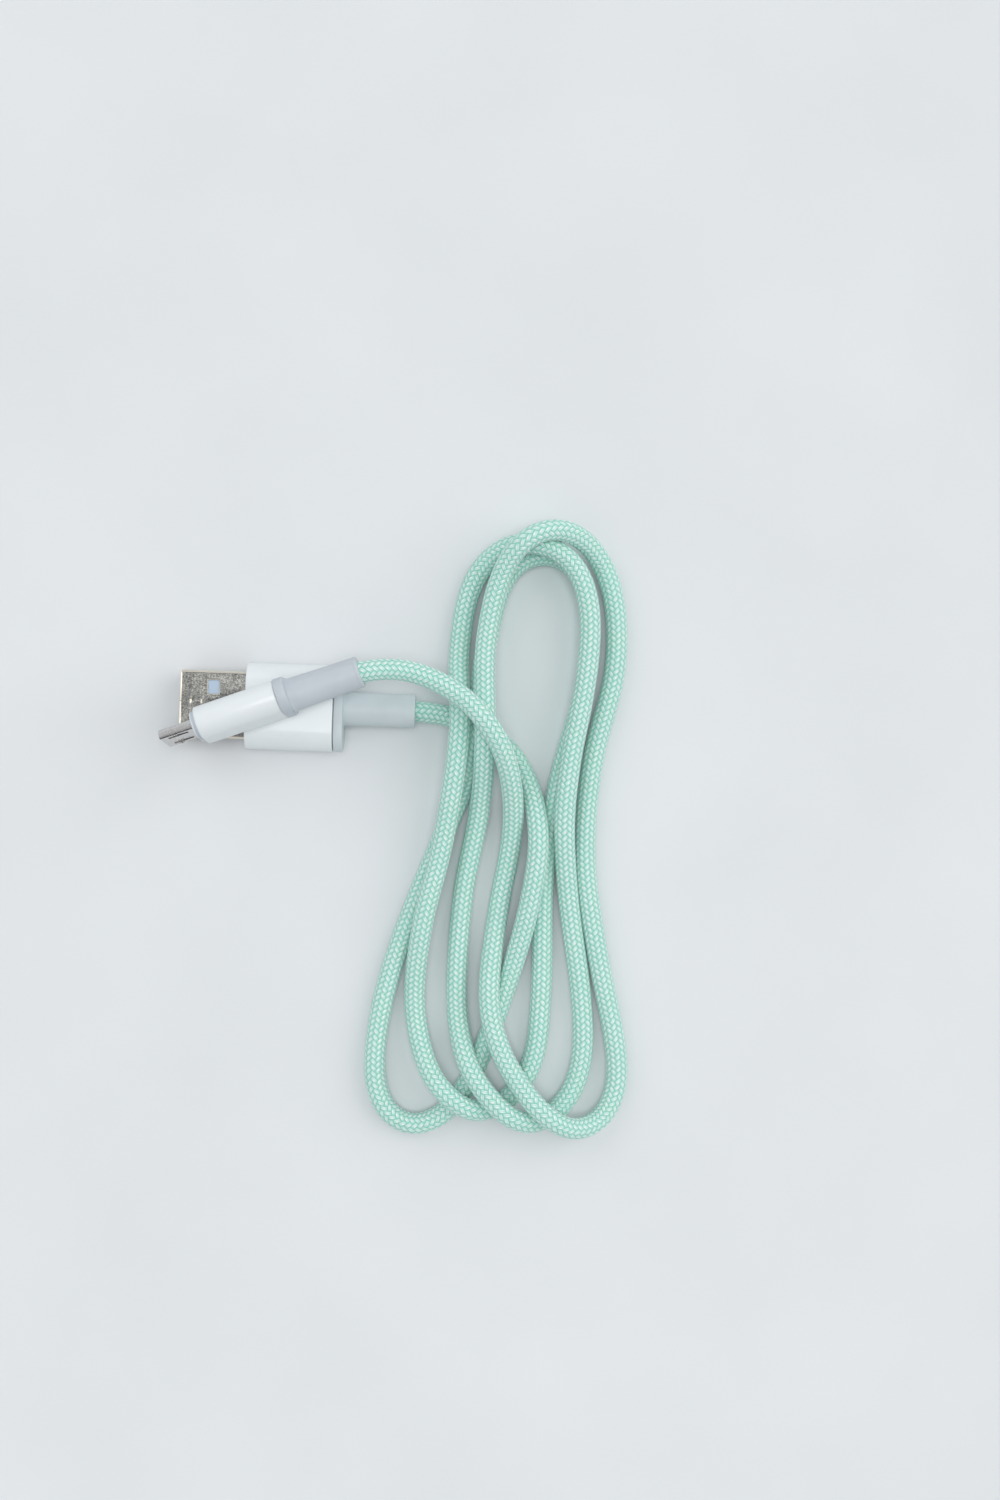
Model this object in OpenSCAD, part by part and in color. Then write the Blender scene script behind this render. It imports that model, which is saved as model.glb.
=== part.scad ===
// Charging cable: standard-A plug, micro-B plug and a braided cord wound in loose loops.
// Millimetres. Origin on the table under the middle of the standard-A plug's sleeve, +X from
// that plug towards its cord, +Z up. Both plugs are drawn along X, on their own axis.

/* [Cord] */
// Outer diameter of the braided cord
cord_d = 3.8; // [3.6:0.1:4.0]
// Diameter of the jacket under the braid
jacket_d = 3.0; // [2.8:0.1:3.0]
// Diameter of one insulated wire
wire_d = 0.76; // [0.6:0.02:0.76]

/* [Standard-A plug] */
// Length of the white sleeve
a_sleeve_l = 15.6; // [15:0.2:18]
// Width of the white sleeve
a_sleeve_w = 15.5; // [15.1:0.1:16]
// Height of the white sleeve
a_sleeve_h = 7.5; // [7.3:0.1:8]
// Width of the steel shell
a_shell_w = 12.0; // [11.9:0.05:12.05]
// Height of the steel shell
a_shell_h = 4.5; // [4.4:0.05:4.55]
// How far the steel shell stands out of the sleeve
a_shell_reach = 11.8; // [11.5:0.1:12.5]
// Thickness of the grey flange behind the sleeve
a_flange_t = 1.6; // [1.2:0.1:2.5]
// Diameter of the strain relief
a_boot_d = 6.0; // [5.8:0.1:6.4]
// Length of the strain relief
a_boot_l = 12.8; // [12:0.2:16]

/* [Micro-B plug] */
// Length of the white sleeve
b_sleeve_l = 14.7; // [14.4:0.1:15]
// Width of the white sleeve
b_sleeve_w = 9.6; // [9.6:0.1:10]
// Thickness of the white sleeve
b_sleeve_h = 5.9; // [5.9:0.1:6.2]
// Width of the steel shell on its wide side
b_shell_w = 6.85; // [6.75:0.05:6.9]
// Height of the steel shell
b_shell_h = 1.85; // [1.8:0.05:1.9]
// How far the steel shell stands out of the nose
b_shell_reach = 6.1; // [5.8:0.1:6.4]
// Thickness of the grey flange behind the sleeve
b_flange_t = 1.7; // [1.2:0.1:2.5]
// Diameter of the strain relief at the flange
b_boot_d = 5.9; // [5.6:0.1:6.1]
// Diameter of the strain relief at its free end
b_boot_end_d = 5.5; // [5.2:0.1:5.9]
// Length of the strain relief
b_boot_l = 13.0; // [12:0.2:16]

/* [How the micro-B plug lies] */
// Turn about the vertical
b_yaw = 20.6; // [15:0.1:25]
// Rise from tip to cord
b_pitch = 3; // [2:0.5:4]
// Roll about its own axis, 0 with the latches on top
b_roll = 77; // [70:1:84]

/* [Hidden] */

$fn = 48;
gap = 0.05;     // clearance between nested pieces
over = 0.1;     // how far a cut runs past a face

// Cord
cord_r = cord_d / 2;
braid_t = cord_r - jacket_d / 2 - 0.03;
jacket_bore_r = 0.98;
wire_r = wire_d / 2;
wire_knee = 0.02;   // how much fatter a wire is at its bends
wire_off = 0.42;    // of each wire's axis from the cord's, sideways and upwards

// Standard-A plug, X measured from the middle of the sleeve
a_axis_z = a_sleeve_h / 2;
a_front = -a_sleeve_l / 2;
a_back = a_sleeve_l / 2;
a_seam = 0.2;                           // groove between sleeve and flange
a_tip = a_front - a_shell_reach;
a_shell_back = a_tip + 18.2;
a_shell_t = 0.3;
a_shell_round = 0.6;
a_front_wall = 0.8;
a_core_w = a_sleeve_w - 1.9;
a_core_h = a_sleeve_h - 1.9;
a_flange_x = a_back + a_seam;
a_boot_x = a_flange_x + a_flange_t;
a_end = a_boot_x + a_boot_l;
a_window = [2.0, 2.4];                  // along the plug and across it
a_window_x = a_tip + 5.0;
a_window_y = 3.1;
a_tongue_x = a_tip + 9.0;               // where the thin tongue meets the full block
a_contact = [1.0, 0.25];                // width and thickness
a_contact_y = [-3.5, -1.0, 1.0, 3.5];   // power, data minus, data plus, ground
a_contact_tip = [1.1, 2.1, 2.1, 1.1];   // from the shell's rim to the contact's end
a_contact_z = 0.32;
a_tail_x = a_shell_back + 1.9;
a_mould_x = a_shell_back + 0.4;
a_mould_w = 12.2;
a_mould_h = 4.6;
a_mould_back = 6.9;
a_shield_w = 10.6;
a_shield_h = 3.6;
a_shield_back = 2.5;
shield_t = 0.25;
shield_round = 0.5;
crimp_r = 1.8;
crimp_t = 0.25;
crimp_l = 4.0;
a_jacket_x = 3.0;

// Micro-B plug, X measured from the tip of its shell, latches on +Z
b_tip = [-21.3, -6.4, 11.53];           // the tip's place in the part's frame
b_nose_x = b_shell_reach;
b_sleeve_x = b_nose_x + 0.9;
b_sleeve_back = b_sleeve_x + b_sleeve_l;
b_core_w = b_sleeve_w - 1.2;
b_core_h = b_sleeve_h - 1.2;
b_flange_x = b_sleeve_back + a_seam;
b_flange_w = b_sleeve_w + 0.3;
b_flange_h = b_sleeve_h + 0.3;
b_boot_x = b_flange_x + b_flange_t;
b_end = b_boot_x + b_boot_l;
b_shell_l = 10.4;
b_shell_t = 0.25;
b_bevel = 0.875;                        // slope on both sides of the shell's narrow face
b_top = b_shell_h / 2;
b_tongue_z = -0.1;                      // face that the contacts stand on
b_base_x = 6.0;                         // where the insulator fills the shell
b_base_z = 0.35;
b_contact = [0.34, 0.14];
b_contact_pitch = 0.65;
b_contact_z = -0.08;
b_contact_tip = 0.9;
b_contact_groove = -0.45;
b_tail_x = 11.6;
b_latch_y = 2.0;
b_latch = [0.5, 0.2];
b_latch_z = 0.6;
b_latch_tip = 1.4;
b_latch_root = 8.6;
b_barb = [1.6, 3.0];                    // start and end along the plug
b_barb_rise = 0.42;                     // above the shell's wide face
b_slot = [1.3, 4.9];
b_slot_w = 0.8;
b_mould_x = 10.6;
b_mould_back = 20.4;
b_mould_w = b_core_w - 1.0;
b_mould_h = b_core_h - 0.7;
b_shield_w = 6.4;
b_shield_h = 2.9;
b_shield_back = 14.9;
b_jacket_x = 15.4;

// Middle line of the free cord from the standard-A plug to the micro-B plug, laid by hand.
// Cord lying on the table has its middle line one radius up; a crossing lifts it one diameter.
route = [
    // out of the standard-A plug, under the other runs and down
    [a_end, 0, a_axis_z], [28, -0.5, 2.4], [33.5, -2.5, 1.9], [39, -6, 1.9], [43, -12, 2.2],
    [45.2, -21, 5.3], [44.3, -32, 5.2], [40, -50, 1.9],
    // first loop
    [33.5, -67.5, 1.9], [29, -72.8, 1.9], [24, -74.4, 1.9], [19.8, -72.2, 1.9], [17.4, -67, 1.9],
    [17.5, -57, 1.9], [20, -45, 1.9], [28.5, -21, 1.9], [32, -12, 2.3], [33.5, -2.5, 5.8],
    [34.4, 11, 1.9], [38, 25.3, 1.9], [42.8, 29, 1.9], [48, 28.5, 1.9], [51.6, 25, 1.9],
    [53.2, 18, 1.9], [52.8, 6, 1.9], [48.5, -12, 1.9], [46.5, -28, 1.9], [46.7, -50, 1.9],
    [45.8, -61.5, 1.9],
    // second loop
    [43, -67.4, 1.9], [39, -70.7, 2.2], [34.8, -71, 5], [30.6, -68.4, 6], [27, -64, 4.5], [24, -53, 2],
    [25, -38, 5], [28, -24, 5.7], [30.5, -3, 8.5], [29.8, 11, 2.2], [31.6, 23, 1.9], [35.3, 28.6, 3],
    [40.5, 30.7, 5.6], [46, 30, 5.7], [50.4, 26.3, 5.7], [52.9, 19, 5.7], [52.7, 7, 5.7], [50.4, -8, 5.7],
    [49.7, -19, 5.2], [50.9, -32, 2.6], [54, -51, 1.9],
    // third loop
    [54.5, -60.5, 1.9], [53, -67, 1.9], [49.6, -71.5, 2], [45, -73, 4.8], [41, -71.2, 6.4],
    [37.3, -67.6, 6.2], [34.1, -63, 5.4], [31.7, -54, 2], [32, -33, 1.9], [34.5, -17, 3.4],
    [35, -4, 9.4], [34.6, 13, 5.8],
    [37.2, 25.5, 7], [41, 31, 9.7], [46, 33.1, 8.4], [50.8, 32, 5.2], [54.8, 28, 2.3], [57.4, 21, 1.9],
    [58, 9, 1.9], [54.5, -8, 1.9], [53.7, -25, 1.9], [56.8, -43.5, 1.9], [60.2, -58, 1.9],
    // last loop, then over everything to the micro-B plug
    [60.8, -66, 1.9], [58.4, -71.8, 2.2], [53.4, -73.8, 4.9], [48, -71, 7.1], [43.4, -66, 6.1],
    [39.4, -59.3, 5.8], [37.3, -51, 5], [38.5, -35, 1.9], [40.5, -21, 3.2], [39.5, -10, 9.2],
    [36, -2.5, 13.2], [30.5, 3, 13.1], [21, 7, 13.1], b_place([b_end, 0, 0])
];
cord_sides = 8;

// A point of the micro-B plug's own frame, on its axis, in the part's frame
function b_place(p) = b_tip + p[0] * [cos(b_pitch) * cos(b_yaw), cos(b_pitch) * sin(b_yaw), sin(b_pitch)];

function unit(v) = v / norm(v);

// Vector u turned to stand square to t
function square_to(u, t) = unit(u - (u * t) * t);

// The shell's D-shaped outline, moved inwards by t
function d_outline(t) =
    let (half_w = b_shell_w / 2 - t, half_h = b_top - t, k = (sqrt(2) - 1) * t)
    let (side_z = b_bevel - b_top + k, narrow_w = b_shell_w / 2 - b_bevel - k)
    [[half_w, half_h], [-half_w, half_h], [-half_w, side_z], [-narrow_w, -half_h],
     [narrow_w, -half_h], [half_w, side_z]];

// ---------- shared shapes ----------

// A flat outline, X across and Y up, drawn out along X from x0 to x1
module along_x(x0, x1) {
    translate([x0, 0, 0]) rotate([90, 0, 90]) linear_extrude(x1 - x0) children();
}

// A bar with round sides
module stadium(w, h) {
    square([w - h, h], center = true);
    for (s = [-1, 1]) translate([s * (w - h) / 2, 0]) circle(d = h);
}

module round_rect(w, h, r) {
    square([w - 2 * r, h], center = true);
    square([w, h - 2 * r], center = true);
    for (x = [-1, 1], y = [-1, 1]) translate([x * (w / 2 - r), y * (h / 2 - r)]) circle(r = r);
}

// A box from its lowest to its highest corner
module block(low, high) {
    translate(low) cube(high - low);
}

module rod_x(x0, x1, r1, r2) {
    translate([x0, 0, 0]) rotate([0, 90, 0]) cylinder(h = x1 - x0, r1 = r1, r2 = r2);
}

module tube_x(x0, x1, outer_r, inner_r) {
    difference() {
        rod_x(x0, x1, outer_r, outer_r);
        rod_x(x0 - over, x1 + over, inner_r, inner_r);
    }
}

// A round wire through the given points
module wire(points) {
    for (i = [0 : len(points) - 2]) {
        d = points[i + 1] - points[i];
        translate(points[i]) rotate([0, acos(d[2] / norm(d)), atan2(d[1], d[0])])
            cylinder(h = norm(d), r = wire_r, $fn = 24);
        if (i > 0) translate(points[i]) sphere(r = wire_r + wire_knee, $fn = 24);
    }
}

// A folded shield box, open in front, with its crimp barrel behind
module shield(x0, x1, w, h) {
    difference() {
        union() {
            along_x(x0, x1) round_rect(w, h, shield_round);
            rod_x(x1 - over, x1 + crimp_l, crimp_r, crimp_r);
        }
        along_x(x0 - over, x1 - shield_t) round_rect(w - 2 * shield_t, h - 2 * shield_t, shield_round / 2);
        rod_x(x1 - 2 * shield_t, x1 + crimp_l + over, crimp_r - crimp_t, crimp_r - crimp_t);
    }
}

module place_a() {
    translate([0, 0, a_axis_z]) children();
}

module place_b() {
    translate(b_tip) rotate([b_roll, -b_pitch, b_yaw]) children();
}

// ---------- standard-A plug ----------

module usb_a_shell() {
    color([0.70, 0.69, 0.66]) place_a() difference() {
        along_x(a_tip, a_shell_back) round_rect(a_shell_w, a_shell_h, a_shell_round);
        along_x(a_tip - over, a_shell_back + over)
            round_rect(a_shell_w - 2 * a_shell_t, a_shell_h - 2 * a_shell_t, a_shell_round / 2);
        for (s = [-1, 1]) translate([a_window_x, s * a_window_y - a_window[1] / 2, -a_shell_h])
            cube([a_window[0], a_window[1], 2 * a_shell_h]);
    }
}

module usb_a_insulator() {
    half_w = a_shell_w / 2 - a_shell_t - gap;
    half_h = a_shell_h / 2 - a_shell_t;
    color([0.88, 0.92, 0.96]) place_a() difference() {
        intersection() {
            along_x(a_tip, a_shell_back) round_rect(2 * half_w, 2 * half_h, a_shell_round / 2);
            union() {
                block([a_tip + 0.6, -half_w, 0], [a_shell_back, half_w, half_h]);
                block([a_tongue_x, -half_w, -half_h], [a_shell_back, half_w, 0]);
            }
        }
        for (y = a_contact_y) block([a_tip, y - a_contact[0] / 2 - gap, -gap],
            [a_shell_back + over, y + a_contact[0] / 2 + gap, a_contact_z]);
    }
}

// One flat contact, under the tongue and out at the back of the insulator
module usb_a_contact(i) {
    half_w = a_contact[0] / 2;
    color([0.86, 0.70, 0.38]) place_a()
        block([a_tip + a_contact_tip[i], a_contact_y[i] - half_w, a_contact_z - a_contact[1]],
            [a_tail_x, a_contact_y[i] + half_w, a_contact_z]);
}

module usb_a_back_shield() {
    color([0.72, 0.72, 0.72]) place_a() shield(a_mould_x, a_shield_back, a_shield_w, a_shield_h);
}

module usb_a_inner_mould() {
    color([0.93, 0.93, 0.90]) place_a() difference() {
        along_x(a_mould_x, a_mould_back) stadium(a_mould_w, a_mould_h);
        along_x(a_mould_x - over, a_shield_back + gap)
            round_rect(a_shield_w + 2 * gap, a_shield_h + 2 * gap, shield_round);
        rod_x(a_shield_back, a_mould_back + over, crimp_r + gap, crimp_r + gap);
    }
}

module usb_a_overmould() {
    color([0.77, 0.81, 0.84]) place_a() difference() {
        union() {
            along_x(a_front + a_front_wall + gap, a_flange_x) stadium(a_core_w, a_core_h);
            along_x(a_flange_x, a_boot_x) stadium(a_sleeve_w - gap, a_sleeve_h - gap);
            rod_x(a_boot_x, a_end, a_boot_d / 2, a_boot_d / 2 - gap);
        }
        along_x(a_front, a_shell_back + gap)
            round_rect(a_shell_w + 2 * gap, a_shell_h + 2 * gap, a_shell_round);
        along_x(a_shell_back, a_mould_back + gap) stadium(a_mould_w + 2 * gap, a_mould_h + 2 * gap);
        rod_x(a_mould_back, a_end + over, cord_r + gap, cord_r + gap);
    }
}

module usb_a_sleeve() {
    color([0.94, 0.95, 0.96]) place_a() difference() {
        along_x(a_front, a_back) stadium(a_sleeve_w, a_sleeve_h);
        along_x(a_front + a_front_wall, a_back + over) stadium(a_core_w + 2 * gap, a_core_h + 2 * gap);
        along_x(a_front - over, a_front + a_front_wall + over)
            round_rect(a_shell_w + 2 * gap, a_shell_h + 2 * gap, a_shell_round);
    }
}

module usb_a_braid_end() {
    color([0.56, 0.86, 0.77]) place_a() tube_x(a_mould_back + 0.2, a_end, cord_r, cord_r - braid_t);
}

module usb_a_jacket_end() {
    color([0.90, 0.91, 0.90]) place_a() tube_x(a_jacket_x, a_end, jacket_d / 2, jacket_bore_r);
}

// One wire from the tail of contact i to the cord, where it lies at side sy and height sz
module usb_a_wire(i, sy, sz, tint) {
    z = a_contact_z - a_contact[1] - wire_r - gap;
    color(tint) place_a() wire([[a_tail_x - 1.2, a_contact_y[i], z],
        [a_shield_back - 0.1, sy * wire_off, sz * wire_off], [a_end, sy * wire_off, sz * wire_off]]);
}

module usb_a_contact_power() usb_a_contact(0);
module usb_a_contact_data_minus() usb_a_contact(1);
module usb_a_contact_data_plus() usb_a_contact(2);
module usb_a_contact_ground() usb_a_contact(3);

module usb_a_wire_red() usb_a_wire(0, -1, 1, [0.80, 0.15, 0.12]);
module usb_a_wire_white() usb_a_wire(1, -1, -1, [0.95, 0.95, 0.93]);
module usb_a_wire_green() usb_a_wire(2, 1, -1, [0.12, 0.55, 0.25]);
module usb_a_wire_black() usb_a_wire(3, 1, 1, [0.08, 0.08, 0.08]);

// ---------- micro-B plug ----------

module micro_b_shell() {
    color([0.74, 0.74, 0.73]) place_b() difference() {
        along_x(0, b_shell_l) polygon(d_outline(0));
        along_x(-over, b_shell_l + over) polygon(d_outline(b_shell_t));
        for (s = [-1, 1]) block([b_slot[0], s * b_latch_y - b_slot_w / 2, 0],
            [b_slot[1], s * b_latch_y + b_slot_w / 2, b_shell_h]);
    }
}

module micro_b_insulator() {
    wide = b_contact[0] / 2 + gap;
    color([0.20, 0.20, 0.21]) place_b() difference() {
        intersection() {
            along_x(0.5, b_shell_l - 0.2) polygon(d_outline(b_shell_t));
            union() {
                block([0, -b_shell_w, -b_shell_h], [b_base_x, b_shell_w, b_tongue_z]);
                block([b_base_x, -b_shell_w, -b_shell_h], [b_shell_l, b_shell_w, b_base_z]);
            }
        }
        for (i = [-2 : 2]) {
            y = i * b_contact_pitch;
            block([0, y - wide, b_contact_groove], [b_base_x, y + wide, 0]);
            block([b_base_x - over, y - wide, b_contact_groove], [b_shell_l, y + wide, b_contact_z + gap]);
        }
        for (s = [-1, 1]) block([b_base_x - over, s * b_latch_y - b_slot_w / 2, 0.1],
            [b_latch_root + over, s * b_latch_y + b_slot_w / 2, b_shell_h]);
    }
}

// Spring contact i, counted from -2 to 2 across the plug
module micro_b_contact(i) {
    y = i * b_contact_pitch;
    top = b_contact_z;
    low = b_contact_z - b_contact[1];
    color([0.86, 0.70, 0.38]) place_b() translate([0, y + b_contact[0] / 2, 0]) rotate([90, 0, 0])
        linear_extrude(b_contact[0]) polygon([
            [b_contact_tip, low], [b_tail_x, low], [b_tail_x, top], [b_contact_tip + 1.8, top],
            [b_contact_tip + 1.2, top + b_contact[1]], [b_contact_tip + 0.6, top + b_contact[1]],
            [b_contact_tip, top - 0.04]
        ]);
}

// Sprung latch arm on side s, lying under the shell's wide face with its barb through the slot
module micro_b_latch(s) {
    low = b_latch_z - b_latch[1];
    peak = b_top + b_barb_rise;
    color([0.74, 0.74, 0.73]) place_b() translate([0, s * b_latch_y + b_latch[0] / 2, 0]) rotate([90, 0, 0])
        linear_extrude(b_latch[0]) polygon([
            [b_latch_tip, low], [b_latch_root, low], [b_latch_root, b_latch_z], [b_barb[1], b_latch_z],
            [b_barb[1], peak - 0.1], [b_barb[1] - 0.2, peak], [b_barb[1] - 0.5, peak],
            [b_barb[0], b_latch_z + 0.1], [b_latch_tip, b_latch_z]
        ]);
}

module micro_b_back_shield() {
    color([0.72, 0.72, 0.72]) place_b() shield(b_mould_x + gap, b_shield_back, b_shield_w, b_shield_h);
}

module micro_b_inner_mould() {
    color([0.93, 0.93, 0.90]) place_b() difference() {
        along_x(b_mould_x, b_mould_back) stadium(b_mould_w, b_mould_h);
        along_x(b_mould_x - over, b_shield_back + gap)
            round_rect(b_shield_w + 2 * gap, b_shield_h + 2 * gap, shield_round);
        rod_x(b_shield_back - 2 * over, b_mould_back + over, crimp_r + gap, crimp_r + gap);
    }
}

module micro_b_overmould() {
    color([0.75, 0.78, 0.83]) place_b() difference() {
        union() {
            along_x(b_nose_x, b_flange_x) stadium(b_core_w, b_core_h);
            along_x(b_flange_x, b_boot_x) stadium(b_flange_w, b_flange_h);
            rod_x(b_boot_x, b_end, b_boot_d / 2, b_boot_end_d / 2);
        }
        along_x(b_nose_x - over, b_mould_x) polygon(d_outline(-gap));
        along_x(b_mould_x - gap, b_mould_back + gap) stadium(b_mould_w + 2 * gap, b_mould_h + 2 * gap);
        rod_x(b_mould_back, b_end + over, cord_r + gap, cord_r + gap);
    }
}

module micro_b_sleeve() {
    color([0.94, 0.95, 0.96]) place_b() difference() {
        along_x(b_sleeve_x, b_sleeve_back) stadium(b_sleeve_w, b_sleeve_h);
        along_x(b_sleeve_x - over, b_sleeve_back + over) stadium(b_core_w + 2 * gap, b_core_h + 2 * gap);
    }
}

module micro_b_braid_end() {
    color([0.56, 0.86, 0.77]) place_b() tube_x(b_mould_back + 0.2, b_end, cord_r, cord_r - braid_t);
}

module micro_b_jacket_end() {
    color([0.90, 0.91, 0.90]) place_b() tube_x(b_jacket_x, b_end, jacket_d / 2, jacket_bore_r);
}

// One wire from contact i to the cord, where it lies at side sy and height sz
module micro_b_wire(i, sy, sz, tint) {
    start_y = i * b_contact_pitch;
    start_z = b_contact_z - b_contact[1] / 2 + sz * (b_contact[1] / 2 + wire_r + gap);
    color(tint) place_b() wire([[b_tail_x - 0.6, start_y, start_z],
        [b_tail_x + 1.2, (start_y + sy * wire_off) / 2, start_z],
        [b_shield_back - 0.1, sy * wire_off, sz * wire_off], [b_end, sy * wire_off, sz * wire_off]]);
}

module micro_b_contact_1() micro_b_contact(-2);
module micro_b_contact_2() micro_b_contact(-1);
module micro_b_contact_3() micro_b_contact(0);
module micro_b_contact_4() micro_b_contact(1);
module micro_b_contact_5() micro_b_contact(2);

module micro_b_latch_left() micro_b_latch(1);
module micro_b_latch_right() micro_b_latch(-1);

module micro_b_wire_red() micro_b_wire(-2, -1, -1, [0.80, 0.15, 0.12]);
module micro_b_wire_white() micro_b_wire(-1, -1, 1, [0.95, 0.95, 0.93]);
module micro_b_wire_green() micro_b_wire(0, 1, -1, [0.12, 0.55, 0.25]);
module micro_b_wire_black() micro_b_wire(2, 1, 1, [0.08, 0.08, 0.08]);

// ---------- cord ----------

// The free cord: a ring of points at each point of the route, carried along without twist
module cord() {
    last = len(route) - 1;
    a_out = [1, 0, 0];
    b_in = -unit(b_place([1, 0, 0]) - b_place([0, 0, 0]));
    ways = [for (i = [0 : last])
        i == 0 ? a_out : i == last ? b_in : unit(route[i + 1] - route[i - 1])];
    sides = [for (i = 0, u = [0, 1, 0]; i <= last; i = i + 1, u = i <= last ? square_to(u, ways[i]) : u) u];
    points = [for (i = [0 : last], j = [0 : cord_sides - 1])
        route[i] + cord_r * (cos(360 * j / cord_sides) * sides[i]
            + sin(360 * j / cord_sides) * cross(ways[i], sides[i]))];
    walls = [for (i = [0 : last - 1], j = [0 : cord_sides - 1])
        let (a = i * cord_sides + j, b = i * cord_sides + (j + 1) % cord_sides)
        each [[a, a + cord_sides, b], [b, a + cord_sides, b + cord_sides]]];
    start_cap = [for (j = [0 : cord_sides - 1]) j];
    end_cap = [for (j = [cord_sides - 1 : -1 : 0]) last * cord_sides + j];
    color([0.62, 0.88, 0.79]) polyhedron(points, concat(walls, [start_cap, end_cap]), convexity = 10);
}

usb_a_shell();
usb_a_insulator();
usb_a_contact_power();
usb_a_contact_data_minus();
usb_a_contact_data_plus();
usb_a_contact_ground();
usb_a_back_shield();
usb_a_inner_mould();
usb_a_overmould();
usb_a_sleeve();
usb_a_braid_end();
usb_a_jacket_end();
usb_a_wire_red();
usb_a_wire_white();
usb_a_wire_green();
usb_a_wire_black();
micro_b_shell();
micro_b_insulator();
micro_b_contact_1();
micro_b_contact_2();
micro_b_contact_3();
micro_b_contact_4();
micro_b_contact_5();
micro_b_latch_left();
micro_b_latch_right();
micro_b_back_shield();
micro_b_inner_mould();
micro_b_overmould();
micro_b_sleeve();
micro_b_braid_end();
micro_b_jacket_end();
micro_b_wire_red();
micro_b_wire_white();
micro_b_wire_green();
micro_b_wire_black();
cord();
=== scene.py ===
"""Charging cable: a braided cord in loose loops between a standard-A plug and a micro-B plug.

Shapes are worked out in millimetres in the part's frame and written to the meshes in metres.
The two plugs are drawn along their own X axis; place_a and place_b carry them to where they lie.
"""

import math

import bmesh
import bpy
import numpy as np
from mathutils import Euler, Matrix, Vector


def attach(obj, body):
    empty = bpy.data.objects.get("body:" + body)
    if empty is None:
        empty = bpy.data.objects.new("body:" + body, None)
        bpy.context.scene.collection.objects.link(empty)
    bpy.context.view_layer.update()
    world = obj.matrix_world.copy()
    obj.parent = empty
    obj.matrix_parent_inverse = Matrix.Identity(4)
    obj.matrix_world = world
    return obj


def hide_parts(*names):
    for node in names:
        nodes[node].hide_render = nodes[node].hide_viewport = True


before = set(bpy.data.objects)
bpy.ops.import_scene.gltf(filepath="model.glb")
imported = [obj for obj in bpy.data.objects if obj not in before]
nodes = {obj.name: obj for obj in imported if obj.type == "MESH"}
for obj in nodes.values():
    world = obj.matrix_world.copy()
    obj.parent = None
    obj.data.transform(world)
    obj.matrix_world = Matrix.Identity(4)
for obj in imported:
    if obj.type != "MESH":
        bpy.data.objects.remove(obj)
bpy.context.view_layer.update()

MM = 0.001
scene = bpy.context.scene

# ---------------------------------------------------------------- camera

# Straight above the cable, turned by two degrees to fit the photo
camera = bpy.data.objects.new("camera", bpy.data.cameras.new("camera"))
scene.collection.objects.link(camera)
scene.camera = camera
camera.data.lens = 50
camera.data.sensor_width = 36
camera.data.clip_start = 0.01
camera.location = (0.03775, -0.00637, 0.377)
camera.rotation_euler = (0, 0, math.radians(2))

# ---------------------------------------------------------------- shader helpers


class Graph:
    """Short names for building one material's node tree."""

    def __init__(self, name):
        self.material = bpy.data.materials.new(name)
        self.material.use_nodes = True
        self.tree = self.material.node_tree
        self.shader = self.tree.nodes["Principled BSDF"]

    def node(self, kind, inputs=None, **settings):
        made = self.tree.nodes.new(kind)
        for key, value in settings.items():
            setattr(made, key, value)
        for key, value in (inputs or {}).items():
            self.set(made.inputs[key], value)
        return made

    def set(self, socket, value):
        if isinstance(value, bpy.types.NodeSocket):
            self.tree.links.new(value, socket)
        else:
            socket.default_value = value

    def math(self, operation, *values):
        made = self.node("ShaderNodeMath", operation=operation)
        for socket, value in zip(made.inputs, values):
            self.set(socket, value)
        return made.outputs[0]

    def mix(self, factor, first, second):
        made = self.node("ShaderNodeMix", data_type="RGBA")
        for socket, value in ((made.inputs[0], factor), (made.inputs[6], first), (made.inputs[7], second)):
            self.set(socket, (*value, 1) if isinstance(value, tuple) else value)
        return made.outputs[2]

    def between(self, factor, low, high):
        """low where factor is 0, high where it is 1"""
        return self.math("MULTIPLY_ADD", factor, self.math("SUBTRACT", high, low), low)

    def noise(self, scale, detail=2.0, roughness=0.5, vector=None):
        made = self.node("ShaderNodeTexNoise", {"Scale": scale, "Detail": detail, "Roughness": roughness})
        self.set(made.inputs["Vector"], vector or self.place())
        return made.outputs["Fac"]

    def place(self):
        return self.node("ShaderNodeTexCoord").outputs["Object"]

    def stretch(self, vector, scale):
        return self.node("ShaderNodeVectorMath", {0: vector, 1: scale}, operation="MULTIPLY").outputs[0]

    def ramp(self, factor, low, high, to_low=0.0, to_high=1.0):
        made = self.node("ShaderNodeMapRange", {0: factor, 1: low, 2: high, 3: to_low, 4: to_high})
        return made.outputs[0]

    def bump(self, height, distance, strength=1.0, normal=None):
        made = self.node("ShaderNodeBump", {"Height": height, "Distance": distance, "Strength": strength})
        if normal is not None:
            self.set(made.inputs["Normal"], normal)
        return made.outputs[0]

    def finish(self, **values):
        for key, value in values.items():
            name = key.replace("_", " ")
            socket = self.shader.inputs[name]
            self.set(socket, (*value, 1) if isinstance(value, tuple) and len(value) == 3 else value)
        return self.material


# ---------------------------------------------------------------- cord

CORD_R = 1.9
BOOT_A_END = 22.4
BOOT_B_END = 36.6
AXIS_A_Z = 3.75
B_TIP = (-21.3, -6.4, 11.53)
B_ROLL, B_PITCH, B_YAW = 77, 3, 20.6    # degrees: about its own axis, its rise, its way on the table
B_TURN = Euler([math.radians(turn) for turn in (B_ROLL, -B_PITCH, B_YAW)], "XYZ").to_matrix()


def place_a(points):
    return np.asarray(points, float) + (0, 0, AXIS_A_Z)


def place_b(points):
    return np.asarray(points, float) @ np.array(B_TURN).T + B_TIP


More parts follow.
